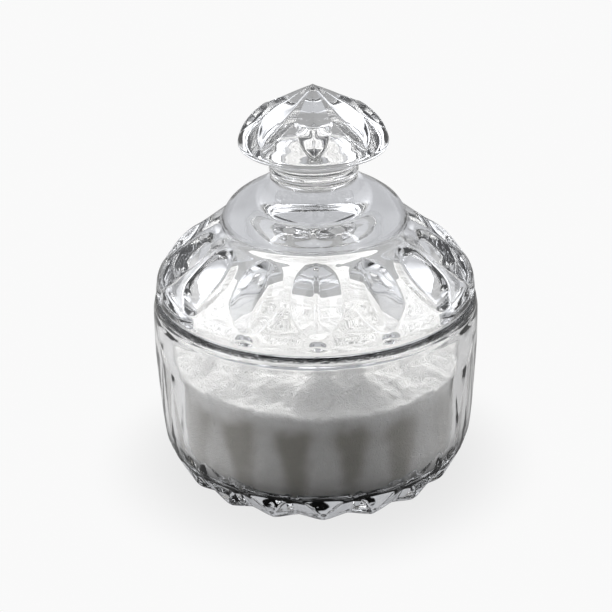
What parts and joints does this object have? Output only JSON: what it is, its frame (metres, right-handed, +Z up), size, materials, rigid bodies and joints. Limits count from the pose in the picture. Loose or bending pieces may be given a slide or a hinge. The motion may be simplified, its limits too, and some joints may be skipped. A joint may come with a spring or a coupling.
{
  "type": "powder jar",
  "caption": "Round pressed-glass jar for loose powder, with faceted sides, a scalloped foot and a fluted lift-off lid with a star-cut knob.",
  "frame": {"origin": "centre of the foot, on the surface that the jar stands on", "axes": "+Z up along the jar's axis, through the knob's point; -Y is the front and +X its right"},
  "size_m": [0.1, 0.1, 0.1258],
  "materials": {
    "jar_glass": "clear pressed glass, fire-polished",
    "lid_glass": "clear pressed glass, fire-polished",
    "powder": "loose white powder, fine and matt"
  },
  "bodies": {
    "jar": {"jar_body": "jar_glass", "powder_fill": "powder"},
    "cover": {"lid": "lid_glass"}
  },
  "joints": [
    {"name": "lid_lift", "type": "slide", "parent": "jar", "child": "cover", "axis": [0, 0, 1], "range_m": [0, 0.06]}
  ]
}
